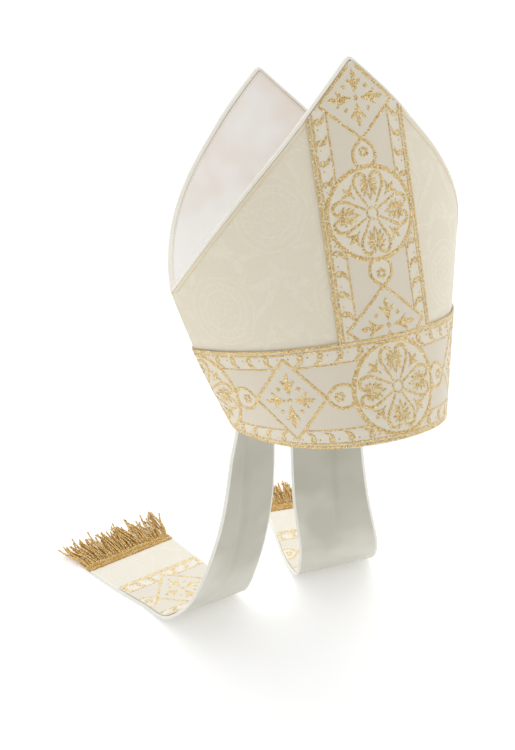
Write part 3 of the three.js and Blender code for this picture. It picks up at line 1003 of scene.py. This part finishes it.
def make_horn(side, facing):
    lining_back = LINING_FACE - LINING_THICK
    horn_layer(f"{side}_panel", facing, (0, PEAK), (0, -PANEL_THICK), DAMASK, "damask", 0.5)
    horn_layer(f"{side}_lining", facing, (-LINING_SHOWS, PEAK), (LINING_FACE, lining_back), SATIN, "satin",
               0.4)
    edge_piping(side, facing)
    horn_layer(f"{side}_circulus", facing, (RIM_MARGIN, GALLOON_WIDTH), (BAND_FACE, BAND_GAP), GROUND,
               "galloon", 0.3, to_flat=circulus_flat)
    horn_layer(f"{side}_titulus", facing, (TITULUS_FOOT, PEAK), (BAND_FACE, BAND_GAP), GROUND, "galloon", 0.3,
               limit=GALLOON_WIDTH / 2, columns=TITULUS_COLUMNS, to_flat=titulus_flat)
    circulus_gold(side, facing)
    titulus_gold(side, facing)
    edge_tape(side, facing)
    edge_stitches(side, facing, 0.2, "edge_stitching", GALLOON_WIDTH / 2, 2.6)
    edge_stitches(side, facing, lining_back - 0.05, "lining_stitching", 0, 1.1)


def make_valley():
    """The lining between the horns, which sags in the middle"""
    rows, columns = 40, 90
    out = -PANEL_THICK - LINING_THICK - 4 * GAP
    reach = VALLEY_SEAM * VALLEY_REACH
    to_back = np.linspace(-1, 1, rows + 1)[:, None]
    to_side = np.linspace(-1, 1, columns + 1)
    level = np.tile(horn_level(to_side * reach, VALLEY_HEIGHT, out), (rows + 1, 1, 1))
    level[..., 1] *= -to_back
    level[..., 2] -= VALLEY_SAG * (1 - to_back**2) * (1 - to_side**4)
    top, under = (tipped(level - (0, 0, drop), TIP_BACK) * MM for drop in (0, LINING_THICK))
    flat = in_metres(flat_grid(to_side * reach, to_back * VALLEY_HALF_LENGTH))
    piece = make_piece("valley_cloth", *wall(top, under), SATIN, "satin", ["valley_lining"], flat)


make_horn("front", 1)
make_horn("back", -1)
make_valley()

# ---- the lappets
LAPPET_COLUMNS = 36
STRAP_FACE = LAPPET_THICK / 2
STRAP_ROLL_RADIUS = 1.6
STRAP_ROLL_OUT = 0.6  # the middle of the roll, outside the strap's edge
FIGURE_REACH = 0.65 * GALLOON_WIDTH
BRAID_CORDS = 4
BRAID_RISE = 0.6  # the cords' middle above the strap's outer face
BRAID_START = LAPPET_LENGTH - 1.2
CORD_COUNT = 112
CORD_RINGS = 34
CORD_LENGTH = (27, 37)
CORD_LIFT = (0.5, 3.2)
CORNER_SHARE = 0.94  # the cords beyond this share of the width stand up a little more


def lappet_layer(name, side, start, end, outer, inner, material, slot, to_flat=in_metres):
    along = np.linspace(start, end, math.ceil((end - start) / ROW_STEP) + 1)[:, None]
    share = np.linspace(-1, 1, LAPPET_COLUMNS + 1)
    faces = (lappet(along, share, out, side) for out in (outer, inner))
    flat = flat_grid(share * lappet_width(along) / 2, along)
    return make_cloth(name, faces, material, slot, to_flat(flat))


def lappet_band_flat(flat):
    return (flat - (0, LAPPET_GALLOON_MIDDLE)) / GALLOON_WIDTH + (HALF_REPEAT, 0)


def lappet_gold(name, side):
    def inside(along, across):
        return lappet_width(LAPPET_GALLOON_MIDDLE + across) / 2 - np.abs(along) - FIGURE_CLEAR["strap"]

    def surface(along, across, height):
        place = LAPPET_GALLOON_MIDDLE + across
        return lappet(place, along * 2 / lappet_width(place), STRAP_FACE + BAND_FACE + height, side)

    strokes = band_strokes(-0.7, 0.7, -FIGURE_REACH, FIGURE_REACH, middle=HALF_REPEAT)
    return make_piece(f"{name}_galloon_gold", *embroidery(strokes, inside, surface), STRAP_GOLD, "gold_cord")


def lappet_piping(name, side):
    """The white rolls along the two long edges"""
    along = np.arange(0, LAPPET_LENGTH + 0.1, 2.0)
    share = np.array([[-1], [1]]) * (1 + 2 * STRAP_ROLL_OUT / lappet_width(along))
    centres = lappet(along, share, 0, side)
    across = unit(lappet(along, share + 0.02, 0, side) - centres)
    outward = unit(lappet(along, share, 1, side) - centres)
    rolls = round_tubes(centres, STRAP_ROLL_RADIUS * MM, 10, across, outward)
    return make_piece(f"{name}_piping", *rolls, STRAP_PIPING, "satin")


def lappet_braid(name, side):
    """A gold braid across the end of the strap: twisted cords side by side, sewn round its edge"""
    across = np.linspace(-1.015, 1.015, 170)
    step = (BRAID_WIDTH + 1) / (BRAID_CORDS - 0.2)
    bodies = []
    for k in range(BRAID_CORDS):
        for out in (STRAP_FACE + BRAID_RISE, -STRAP_FACE + 0.35):
            line = lappet(BRAID_START + step * (k + 0.4), across, out, side)
            bodies.append(twisted(line[None], 0.62 * MM, 3.6 * MM, 6, 1 if k % 2 else -1))
    core_along = np.linspace(LAPPET_LENGTH - 1.5, LAPPET_LENGTH + BRAID_WIDTH, 5)[:, None]
    core_faces = (lappet(core_along, np.linspace(-1, 1, 25), out, side)
                  for out in (STRAP_FACE + 0.45, -STRAP_FACE + 0.2))
    bodies.append(wall(*core_faces))
    return make_piece(f"{name}_braid_cords", *join(bodies), GOLD_CORD, "gold_cord", [f"{name}_braid"])


def end_plane(along, across, out, side):
    """Points in metres beyond the strap's end, carried straight on from it"""
    origin = lappet(LAPPET_LENGTH, 0, 0, side)
    forward = unit(origin - lappet(LAPPET_LENGTH - 2, 0, 0, side))
    sideways = unit(lappet(LAPPET_LENGTH, 0.1, 0, side) - origin)
    up = unit(lappet(LAPPET_LENGTH, 0, 1, side) - origin)
    out = out - STRAP_FACE + 0.7
    steps = (along - LAPPET_LENGTH)[..., None] * forward + across[..., None] * sideways + out[..., None] * up
    return origin + steps * MM


def lappet_fringe(name, side):
    """Twisted bullion cords of uneven length that lie over each other"""
    draw = np.random.default_rng(31 if side > 0 else 32)
    root_share = np.linspace(-0.99, 0.99, CORD_COUNT) + draw.normal(0, 0.012, CORD_COUNT)
    layer = np.arange(CORD_COUNT) % 3
    length = draw.uniform(*CORD_LENGTH, CORD_COUNT) + layer * 2.5
    splay = 11 * root_share + draw.normal(0, 7, CORD_COUNT)
    bend = draw.normal(0, 9, CORD_COUNT)
    lift = draw.uniform(*CORD_LIFT, CORD_COUNT) + layer * 1.6
    curled = draw.random(CORD_COUNT) < 0.3
    curl = np.where(curled, draw.uniform(3, 8, CORD_COUNT), draw.uniform(-1, 2, CORD_COUNT))
    lift = lift + np.where(root_share > CORNER_SHARE, draw.uniform(2, 10, CORD_COUNT), 0)
    t = np.linspace(0, 1, CORD_RINGS)
    start = LAPPET_LENGTH + BRAID_WIDTH - 2.5
    half = float(lappet_width(start)) / 2
    angle = np.radians(splay[:, None] + bend[:, None] * t)
    ring_step = length[:, None] / CORD_RINGS
    forward, sideways = (np.cumsum(part(angle), axis=1) * ring_step for part in (np.cos, np.sin))
    wave = 0.5 * np.sin(t * 9 + FULL_TURN * draw.random((CORD_COUNT, 1)))
    out = layer[:, None] * 0.9 * (1 - t) + lift[:, None] * np.sin(np.minimum(t * 1.5, 1) * math.pi / 2)
    out = out + curl[:, None] * np.clip(t - 0.6, 0, 1) ** 2 * 6 - 0.2
    across = root_share[:, None] * half + sideways + wave
    centres = end_plane(start + forward, across, np.maximum(out, 0.1), side)
    cords = twisted(centres, 0.6 * MM, 3.4 * MM, 5)
    return make_piece(f"{name}_fringe_cords", *cords, GOLD_CORD, "gold_cord", [f"{name}_fringe"])


def make_lappet(name, side):
    strap = lappet_layer(name, side, 0, LAPPET_LENGTH, STRAP_FACE, -STRAP_FACE, STRAP_DAMASK, "damask")
    strap.data.materials.append(SHADED_STRAP_LINING)
    outer_faces = math.ceil(LAPPET_LENGTH / ROW_STEP) * LAPPET_COLUMNS
    material_of_face = np.zeros(len(strap.data.polygons), np.int32)
    material_of_face[outer_faces:2 * outer_faces] = 1
    strap.data.polygons.foreach_set("material_index", material_of_face)
    ends = [LAPPET_GALLOON_MIDDLE + half * GALLOON_WIDTH / 2 for half in (-1, 1)]
    galloon = lappet_layer(f"{name}_galloon", side, *ends, STRAP_FACE + BAND_FACE, STRAP_FACE + BAND_GAP,
                           STRAP_GROUND, "galloon", lappet_band_flat)
    soften(galloon, 0.3)
    sewn_on = [make(name, side) for make in (lappet_gold, lappet_piping, lappet_braid, lappet_fringe)]


make_lappet("lappet_right", 1)
make_lappet("lappet_left", -1)

# ---- floor, light and camera, in metres
FLOOR_HALF = 14
FLOOR_SQUARES = 24
FLOOR_GLOW = 0.22
DIM_SIDE = (-0.38, -0.9, 0.22)
SENSOR = 36
LENS = 56.544  # both in mm, for the picture's longer side
VIEW_CENTRE = (-0.0701, -0.0075, 0.0485)
VIEW_DISTANCE = 0.8716
VIEW_AZIMUTH = math.radians(-25.9)
VIEW_ELEVATION = math.radians(27.59)


def place_in_scene(name, data):
    thing = bpy.data.objects.new(name, data)
    bpy.context.scene.collection.objects.link(thing)
    return thing


def make_floor():
    """A pale floor that is lit from below a little, as a light table is"""
    material, shader, spot, _, _ = new_material("floor", 0.8)
    colour = mix_colour(noise(spot, 3.0), linear((250, 250, 250)), linear((247, 247, 247)))
    connect(shader.inputs["Base Color"], colour)
    shader.inputs["Emission Color"].default_value = (1, 1, 1, 1)
    shader.inputs["Emission Strength"].default_value = FLOOR_GLOW
    step = np.linspace(-FLOOR_HALF, FLOOR_HALF, FLOOR_SQUARES + 1)
    x, y = np.meshgrid(step, step, indexing="ij")
    points = np.stack([x, y, np.full(x.shape, cad_low.z - 0.0005)], -1).reshape(-1, 3)
    mesh = bpy.data.meshes.new("floor")
    mesh.from_pydata(points.tolist(), [], grid_faces(FLOOR_SQUARES, FLOOR_SQUARES, flip=True).tolist())
    mesh.materials.append(material)
    place_in_scene("floor", mesh)


def make_sun(source, strength, spread_degrees):
    light = bpy.data.lights.new("overhead", "SUN")
    light.energy = strength
    light.angle = math.radians(spread_degrees)
    lamp = place_in_scene("overhead", light)
    lamp.rotation_mode = "QUATERNION"
    lamp.rotation_quaternion = Vector(source).to_track_quat("Z", "Y")


def make_world(bright, dim):
    """Soft light from all round, dimmer from the side that the mitre faces"""
    world = bpy.data.worlds.new("studio")
    world.use_nodes = True
    tree = world.node_tree
    direction = Value(add_node(tree, "TexCoord").outputs["Generated"])
    towards = add_node(tree, "VectorMath", direction, DIM_SIDE, operation="DOT_PRODUCT").outputs["Value"]
    colour, strength = tree.nodes["Background"].inputs[:2]
    connect(colour, (1, 1, 1, 1))
    connect(strength, smooth_step(Value(towards), 0.1, 0.95, bright, dim))
    bpy.context.scene.world = world


def make_camera():
    camera = bpy.data.cameras.new("camera")
    camera.sensor_width = SENSOR
    camera.lens = LENS
    camera.clip_end = 60
    view = place_in_scene("camera", camera)
    back = Vector((math.sin(VIEW_AZIMUTH) * math.cos(VIEW_ELEVATION),
                      -math.cos(VIEW_AZIMUTH) * math.cos(VIEW_ELEVATION), math.sin(VIEW_ELEVATION)))
    view.location = Vector(VIEW_CENTRE) + back * VIEW_DISTANCE
    view.rotation_mode = "QUATERNION"
    view.rotation_quaternion = (-back).to_track_quat("-Z", "Y")
    bpy.context.scene.camera = view


make_camera()
make_floor()
make_world(1.0, 0.5)
make_sun((0.25, 0.35, 1.0), 0.7, 60)
bpy.context.scene.view_settings.view_transform = "Standard"
